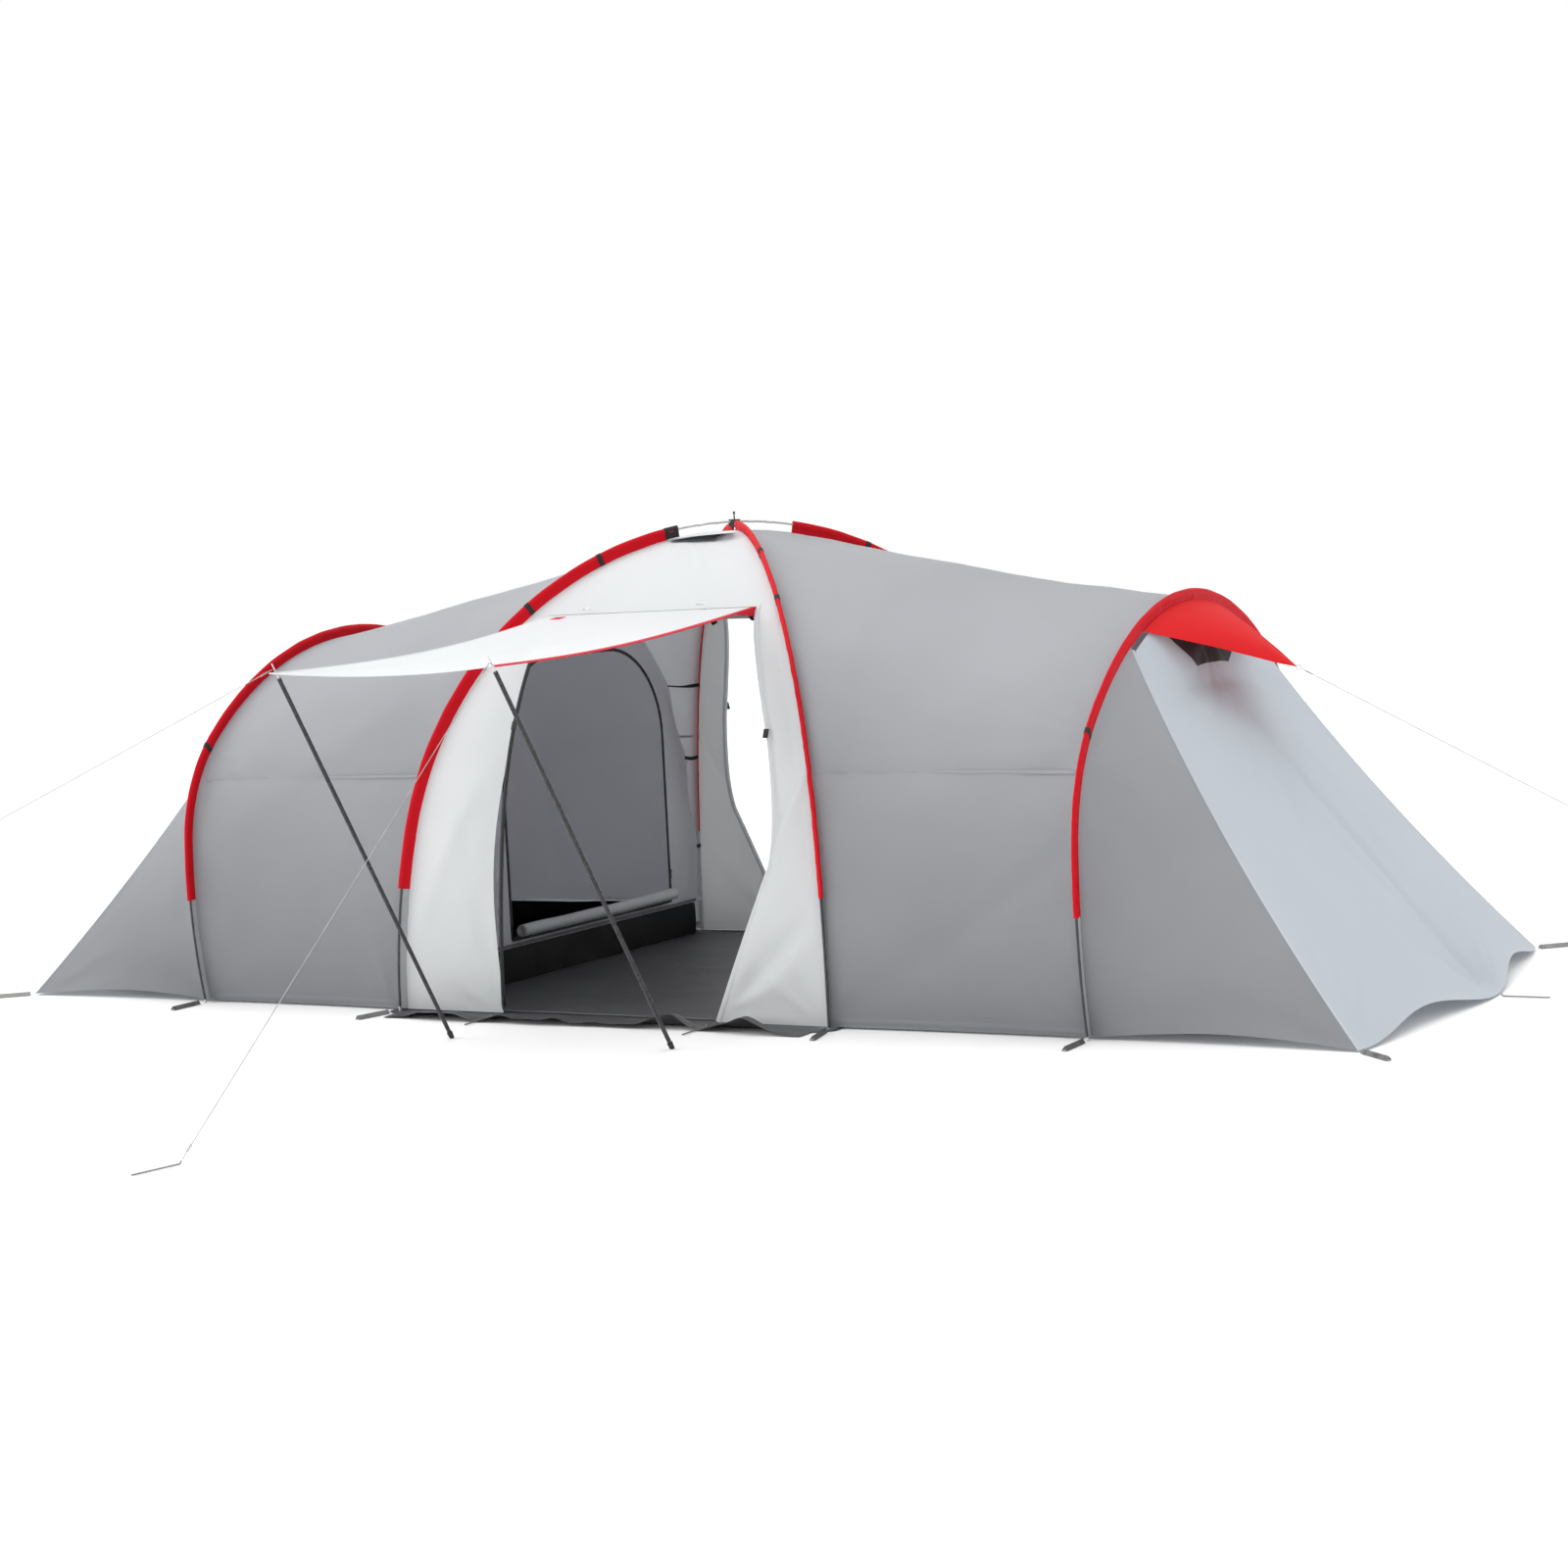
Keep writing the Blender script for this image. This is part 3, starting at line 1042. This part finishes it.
def d_outline(shrink=0.0, count=14):
    """The D doorway's edge in its wall's plane, as (y, z), from its front foot round the back."""
    low, high, back, front = D_LOW + shrink, D_HIGH - shrink, D_BACK - shrink, D_FRONT - shrink
    radius = D_CORNER - shrink
    line = [(-front + (back + front) * k / 20, low) for k in range(20)]
    line += [(back, low + (high - radius - low) * k / 12) for k in range(12)]
    line += [(back - radius + radius * cos(pi / 2 * k / count),
              high - radius + radius * sin(pi / 2 * k / count)) for k in range(count)]
    line += [(back - radius - (back + front - 2 * radius) * k / 6, high) for k in range(6)]
    line += [(-front + radius - radius * sin(pi / 2 * k / count),
              high - radius + radius * cos(pi / 2 * k / count)) for k in range(count)]
    line += [(-front, high - radius - (high - radius - low) * k / 12) for k in range(12)]
    return line


def reach_out(outline, centre, aim):
    """How far a ray from the centre goes before it meets a closed outline."""
    best = 9.0
    for (ay, az), (by, bz) in zip(outline, outline[1:] + outline[:1]):
        ey, ez = by - ay, bz - az
        cross = aim[0] * ez - aim[1] * ey
        if abs(cross) < 1e-12:
            continue
        far = ((ay - centre[0]) * ez - (az - centre[1]) * ey) / cross
        share = ((ay - centre[0]) * aim[1] - (az - centre[1]) * aim[0]) / cross
        if far > 0 and -1e-6 <= share <= 1 + 1e-6:
            best = min(best, far)
    return best


TIE_HEIGHTS = (0.42, 0.85, 1.20)


def wall_edge(side, k):
    """A point of the bedroom front wall's edge. It is cut wider than the canopy, and hollow between
    the ties that hold it out."""
    near = dome_seam(1 - abs(k / 60 - 1), 1, -1 if k < 60 else 1, 0.096)
    far = arch_seam(1 - abs(k / 60 - 1), 1, -1 if k < 60 else 1, 0.096)
    spot = near.lerp(far, (INNER_X - near.x) / (far.x - near.x))
    if spot.y * side < 0:
        marks = (0.0,) + TIE_HEIGHTS + (1.62,)
        for low, high in zip(marks, marks[1:]):
            if low < spot.z < high:
                spot.y *= 1 - 0.036 * sin(pi * (spot.z - low) / (high - low))
    return spot


FRONT_CUT, DOOR_CUT, DOOR_AREA = (2.190, 1.640), (1.284, 1.184), 1.44
hole = d_outline()
centre = (0.2, 0.62)
for side, name in SIDES:
    # the tub: its floor and its low walls
    floor_rows, wall_rows = [], []
    for r in range(41):
        x = INNER_X + (TUB_END - INNER_X) * r / 40
        half = INNER_HALF + (TAIL_HALF - INNER_HALF) * r / 40
        floor_rows.append([])
        for c in range(61):
            ruck = 0.006 * max(0.0, noise.noise(Vector((x * 3, c * 0.12, side))))
            floor_rows[-1].append(Vector((side * x, half * (c / 30 - 1), TUB_FLOOR + ruck)))
    corners = [(INNER_X, -INNER_HALF), (TUB_END, -TAIL_HALF), (TUB_END, TAIL_HALF), (INNER_X, INNER_HALF)]
    edge_points = []
    for (ax, ay), (bx, by) in zip(corners, corners[1:] + corners[:1]):
        edge_points += [(ax + (bx - ax) * k / 50, ay + (by - ay) * k / 50) for k in range(50)]
    edge_points.append(edge_points[0])
    for r in range(11):
        up = r / 10
        row = []
        for x, y in edge_points:
            ruck = noise.noise(Vector((x * 5, y * 5, 3.0 + side))) * 0.010 * sin(pi * up)
            sag = 0.006 * (noise.noise(Vector((x * 4, y * 4, 7.0))) + 0.5) * up
            inset = (0.012 + ruck) * (1 if x < INNER_X + 0.01 else -1)
            row.append(Vector((side * (x + inset), y * (1 - 0.006), TUB_FLOOR + (TUB_HEIGHT - sag) * up)))
        wall_rows.append(row)
    tub = sheet_of("bedroom_tub_%s_floor" % name, "tent", "floor_black", tub_black, floor_rows,
                   ["studio_floor"],
                   nodes=["bedroom_tub_" + name], inward=False)
    sheet_of("bedroom_tub_%s_walls" % name, "tent", "floor_black", tub_black, wall_rows,
             [tub.name])
    # the canopy
    rows = []
    for r in range(61):
        x = INNER_X + 0.005 + (TUB_END - INNER_X - 0.005) * r / 60
        row = []
        for c in range(101):
            if x <= SHOULDER_X:
                spot = inner_point(x, c / 100)
            else:
                spot = inner_point(SHOULDER_X, c / 100)
                widest = inner_point(SHOULDER_X, 0.12).y
                share = (x - SHOULDER_X) / (TUB_END - SHOULDER_X)
                tail = Vector((TUB_END, spot.y / abs(widest) * TAIL_HALF, TUB_HEIGHT + 0.004))
                spot = spot.lerp(tail, share)
            row.append(spot)
        rows.append(mirrored(row, side, 1))
    rows = loosen(rows, 17.0 + side, 0.014, (), (), 0.05)
    seam = min(rows, key=lambda row: abs(row[50].z - 0.86))
    line = [spot - Vector((side * 0.0035, 0, 0.0015)) for spot in seam[22:79]]
    welt("canopy_seam_" + name, "tent", "inner_grey", seam_tape, line, Vector((-side, 0, -0.3)), 0.0075,
         0.0016)
    sheet_of("bedroom_canopy_%s_cloth" % name, "tent", "inner_grey", inner_cloth, rows,
             ["bedroom_tub_%s_walls" % name], nodes=["bedroom_canopy_" + name], inward=side > 0)
    # the front wall, round its doorway
    edge = [wall_edge(side, k) for k in range(121)]
    wall_outline = [(p.y, p.z) for p in edge if p.z > TUB_HEIGHT + 0.01]
    wall_outline = [(edge[0].y, TUB_HEIGHT + 0.002)] + wall_outline + [(edge[-1].y, TUB_HEIGHT + 0.002)]
    spokes = [atan2(z - centre[1], y - centre[0]) for y, z in hole + wall_outline[::3] + wall_outline[-1:]]
    spokes = sorted(set(round(a, 4) for a in spokes))
    rows = []
    for angle in spokes + spokes[:1]:
        aim = (cos(angle), sin(angle))
        low, high = reach_out(hole, centre, aim), reach_out(wall_outline, centre, aim)
        rows.append([Vector((side * INNER_X, centre[0] + aim[0] * (low + (high - low) * c / 12),
                             centre[1] + aim[1] * (low + (high - low) * c / 12))) for c in range(13)])
    rows = loosen(rows, 19.0, 0.012, [(Vector((side * INNER_X, 1.0, h)), 0.18, 0.012,
                                       4) for h in TIE_HEIGHTS],
                  (), 0.06, free="first last")
    # the first and last row are one line, so they move as one
    rows[-1] = [spot.copy() for spot in rows[0]]
    sheet_of("bedroom_front_%s_cloth" % name, "tent", "inner_grey", inner_cloth, rows,
             ["bedroom_canopy_%s_cloth" % name], nodes=["bedroom_front_" + name], inward=side < 0,
             flat=FRONT_CUT)
    # its doorway's zip, which runs all round the D
    line = [Vector((side * (INNER_X - 0.0015), y, z)) for y, z in d_outline(-0.006)]
    welt("d_zip_" + name, "tent", "zip_dark", zip_black, line + line[:1], Vector((-side, 0, 0)), 0.0075,
         0.0030)
    # the binding along its foot
    line = [Vector((side * (INNER_X - 0.001), -1.08 + 2.16 * k / 60, TUB_HEIGHT + 0.012)) for k in range(61)]
    welt("foot_binding_" + name, "tent", "floor_black", tape_grey, line, Vector((-side, 0, 0)), 0.007, 0.0024)


# ------------------------------------------------------------------ inner doors
# The left bedroom's door is unzipped, and rolled down on its sill. The right one is zipped shut, and
# drops from its foot when it is open.
def scroll(start, end, outer, core, pitch, seed, sag=0.0, sides=26, steps=70):
    """Cloth rolled up: a spiral drawn out along the roll, slacker in some places than in others."""
    way = (end - start).normalized()
    across = Vector((0, 0, 1)).cross(way).normalized()
    up = way.cross(across)
    turns = (outer - core) / pitch
    count = round(turns * sides)
    rows = []
    for r in range(steps + 1):
        share = r / steps
        middle = start.lerp(end, share) - Vector((0, 0, sag * sin(pi * share)))
        row = []
        for k in range(count + 1):
            turn = 2 * pi * k / sides
            radius = core + pitch * k / sides
            swell = 1 + 0.10 * noise.noise(Vector((share * 5.0, turn * 0.35, seed))) * radius / outer
            squash = 0.90 if sin(turn) < 0 else 1.0
            row.append(middle + across * (cos(turn) * radius * swell)
                       + up * (sin(turn) * radius * swell * squash)
                       + way * (0.006 * noise.noise(Vector((k * 0.05, seed, share * 2)))))
        rows.append(row)
    return rows


inner_pale = woven("door_cloth", (0.560, 0.570, 0.590), (0.470, 0.480, 0.500), through=0.12, crumple=0.8)
SILL_X, SILL_Z = -0.916, 0.222
rows = scroll(Vector((SILL_X, -0.43, SILL_Z)), Vector((SILL_X, 0.83, SILL_Z)), 0.0285, 0.004, 0.0021, 21.0,
              0.004)
sheet_of("inner_door_left_rolled", "tent", "inner_grey", inner_pale, rows,
         ["bedroom_front_left_cloth"],
         thick=0.0007, nodes=["inner_door_left_roll"])
leaf = d_outline(0.009)
rows, middle = [], (0.2, 0.70)
for y, z in leaf + leaf[:1]:
    rows.append([Vector((INNER_X + 0.0015, middle[0] + (y - middle[0]) * c / 24,
                         middle[1] + (z - middle[1]) * c / 24)) for c in range(25)])
rows = loosen(rows, 23.0, 0.010, (), (), 0.08, free="first last left")
rows[-1] = [spot.copy() for spot in rows[0]]
for row in rows:
    row[0] = rows[0][0].copy()
door = thicken(lay_cloth("inner_door_right_cloth", rows, ring=True), 0.0010)
fasten(door, "inner_door", "inner_grey", inner_cloth, "inner_door_right")


def ties_of(turn):
    """Three short webbing ties from a bedroom's front edge to the tent's rear seam."""
    made = []
    below = CLOTH_INSET + 0.012
    for height in TIE_HEIGHTS:
        seam = dome_seam(share_at(DOME, height, below), -1, 1, below)
        edge = max(p.y for p in (wall_edge(-1, k) for k in range(121)) if abs(p.z - height) < 0.03) - 0.018
        start = Vector((-INNER_X + 0.006, edge, height))
        line = [start.lerp(seam, k / 12) - Vector((0, 0, 0.006 * sin(pi * k / 12))) for k in range(13)]
        line = mirrored(line, turn, turn)
        made.append(welt("tie", "tent", "webbing_black", webbing, line, Vector((turn, 0.2, 0.1)), 0.0085,
                         0.0018))
    return made


fasten(sew("bedroom_front_ties", *(ties_of(1) + ties_of(-1))), "tent", "webbing_black", webbing,
       "bedroom_ties")


# ------------------------------------------------------------------ awning
# The front door panel, zipped free and held out by two props. It is bound in red tape down one side,
# with a red gusset at that corner of its head. Its props' spikes go through steel eyelets.
AWNING_HALF, AWNING_FRONT, AWNING_HEIGHT, AWNING_SAG, AWNING_SHIFT = 0.485, 2.480, 1.440, 0.034, 0.015
HEAD_Y, HEAD_Z = wall_y(DOOR_HEAD) - 0.004, DOOR_HEAD - 0.005


def awning_point(across, out):
    bow = AWNING_SAG * sin(pi * out)
    middle = 1 - across * across
    hollow = 0.030 * middle * max(0.0, (out - 0.8) / 0.2) ** 2
    return Vector((across * (AWNING_HALF - bow) - AWNING_SHIFT * out,
                   HEAD_Y + (-AWNING_FRONT - HEAD_Y) * out + hollow,
                   HEAD_Z + (AWNING_HEIGHT - HEAD_Z) * out - bow - 0.022 * middle * out + 0.0015))


rows = [[awning_point(c / 40 - 1, r / 90) for c in range(81)] for r in range(91)]
fans = [(AWNING_EYES[hand], 0.35, 0.010, 5) for hand in ("left", "right")]
fans.append((awning_point(1, 0), 0.3, 0.008, 5))
rows = loosen(rows, 29.0, 0.007, fans, [(AWNING_EYES["left"], awning_point(0.2, 0.3), 0.010, 0.05),
                                        (AWNING_EYES["right"], awning_point(-0.3, 0.35), 0.010, 0.05)], 0.05)
edge_right, edge_left, front_edge = [row[-1] for row in rows], [row[0] for row in rows], rows[-1]
red_tape = woven("red_tape", (0.640, 0.010, 0.030), (0.520, 0.005, 0.020), thread=0.002, crumple=0.4)
welt("awning_red_binding", "awning", "sleeve_red", red_tape, edge_right, Vector((0.25, 0, 1)), 0.009, 0.0030)
welt("awning_pale_binding", "awning", "wall_light", pale_cloth, edge_left, Vector((0, 0, 1)), 0.008, 0.0026)
welt("awning_front_hem", "awning", "wall_light", pale_cloth, front_edge, Vector((0, 0, 1)), 0.010, 0.0026)
sheet_of("awning_cloth", "awning", "wall_light", pale_cloth, rows,
         ["awning_prop_left", "awning_prop_right"], nodes=["awning_panel"])
gusset = []
for r in range(13):
    low = r / 12
    gusset.append([awning_point(1.0, 0.10 * (1 - low) * (1 - c / 12))
                   + Vector((0.006, 0, 0.003 - 0.040 * low * (1 - c / 24))) for c in range(13)])
gusset = thicken(lay_cloth("awning_red_gusset", gusset), STIFF_THICK)
fasten(gusset, "awning", "sleeve_red", red_tape)
patch = [[awning_point(-0.86 + 0.10 * c / 8, 0.035 + 0.030 * r / 8) + Vector((0, 0,
                                                                              0.0035)) for c in range(9)]
         for r in range(9)]
patch = thicken(lay_cloth("awning_head_patch", patch), STIFF_THICK)
fasten(patch, "awning", "sleeve_red", red_tape)
toggles = []
for x in (-0.30, 0.24):
    bpy.ops.object.select_all(action="DESELECT")
    bpy.ops.mesh.primitive_cylinder_add(vertices=14, radius=0.0045, depth=0.034, location=(x, -0.722, 1.600),
                                        rotation=(0, pi / 2, 0.4))
    toggle = bpy.context.object
    bpy.ops.object.transform_apply(location=True, rotation=True, scale=True)
    waist = toggle.modifiers.new("edge", "BEVEL")
    waist.width = 0.0015
    waist.segments = 3
    bpy.ops.object.modifier_apply(modifier="edge")
    bpy.ops.object.shade_smooth_by_angle(angle=radians(40))
    toggles.append(toggle)
toggle_white = moulding("toggle_white", (0.62, 0.62, 0.60), 0.40)
fasten(sew("roll_up_toggles", *toggles), "tent", "cord_white", toggle_white)


# ------------------------------------------------------------------ awning props
# Steel tubes lacquered black, each with a rubber foot below and a bare steel spike above.
lacquer = moulding("black_lacquer", (0.014, 0.014, 0.016), 0.28)
rubber = moulding("rubber", (0.020, 0.020, 0.021), 0.75)
refinish(lacquer, "awning_prop_left", "awning_prop_right")
refinish(rubber, "prop_foot_left", "prop_foot_right")


# ------------------------------------------------------------------ rear door
# Rolled up under its head seam, and held there by two black webbing straps.
ROLL_HALF, ROLL_Y, ROLL_Z, STRAP_Z, STRAP_RADIUS = 0.485, 0.654, 1.540, 1.535, 0.0375
rows = scroll(Vector((-ROLL_HALF, ROLL_Y, ROLL_Z)), Vector((ROLL_HALF, ROLL_Y, ROLL_Z)), 0.0350, 0.005,
              0.0022,
              31.0, 0.006)
sheet_of("rear_door_rolled", "tent", "wall_light", pale_cloth, rows, ["rear_wall_head_cloth"],
         thick=0.0007,
         nodes=["rear_door_roll"])
straps = []
for x in (-0.30, 0.30):
    ring = []
    for k in range(29):
        turn = 2 * pi * k / 28
        ring.append(Vector((x, ROLL_Y + STRAP_RADIUS * cos(turn), STRAP_Z + STRAP_RADIUS * sin(turn))))
    straps.append(welt("strap", "tent", "webbing_black", webbing, ring,
                       lambda spot: Vector((0, spot.y - ROLL_Y, spot.z - STRAP_Z)), 0.010, 0.0014))
fasten(sew("rear_roll_straps", *straps), "tent", "webbing_black", webbing)


# ------------------------------------------------------------------ door zips
# A coil zip on woven tape runs down the straight jamb of each doorway, with a moulded slider at its
# foot. Each inner door has its own slider.
chains = []
for turn in (1, -1):
    line = []
    for k in range(101):
        height = 0.030 + (DOOR_HEAD - 0.070) * k / 100
        line.append(Vector((turn * (-DOOR_HALF + 0.004), turn * (wall_y(height) - 0.0005), height)))
    chains.append(welt("chain", "tent", "zip_dark", zip_black, line, Vector((0, -turn, 0)), 0.0095, 0.0014))
    teeth = [p + Vector((0, -turn * 0.0014, 0)) for p in line]
    chains.append(welt("coil", "tent", "zip_dark", zip_black, teeth, Vector((0, -turn, 0)), 0.0030, 0.0022))
fasten(sew("door_zips", *chains), "tent", "zip_dark", zip_black, "door_zip_chains")
refinish(black_moulding, "zip_slider_front", "zip_slider_rear", "zip_slider_inner_left",
         "zip_slider_inner_right")
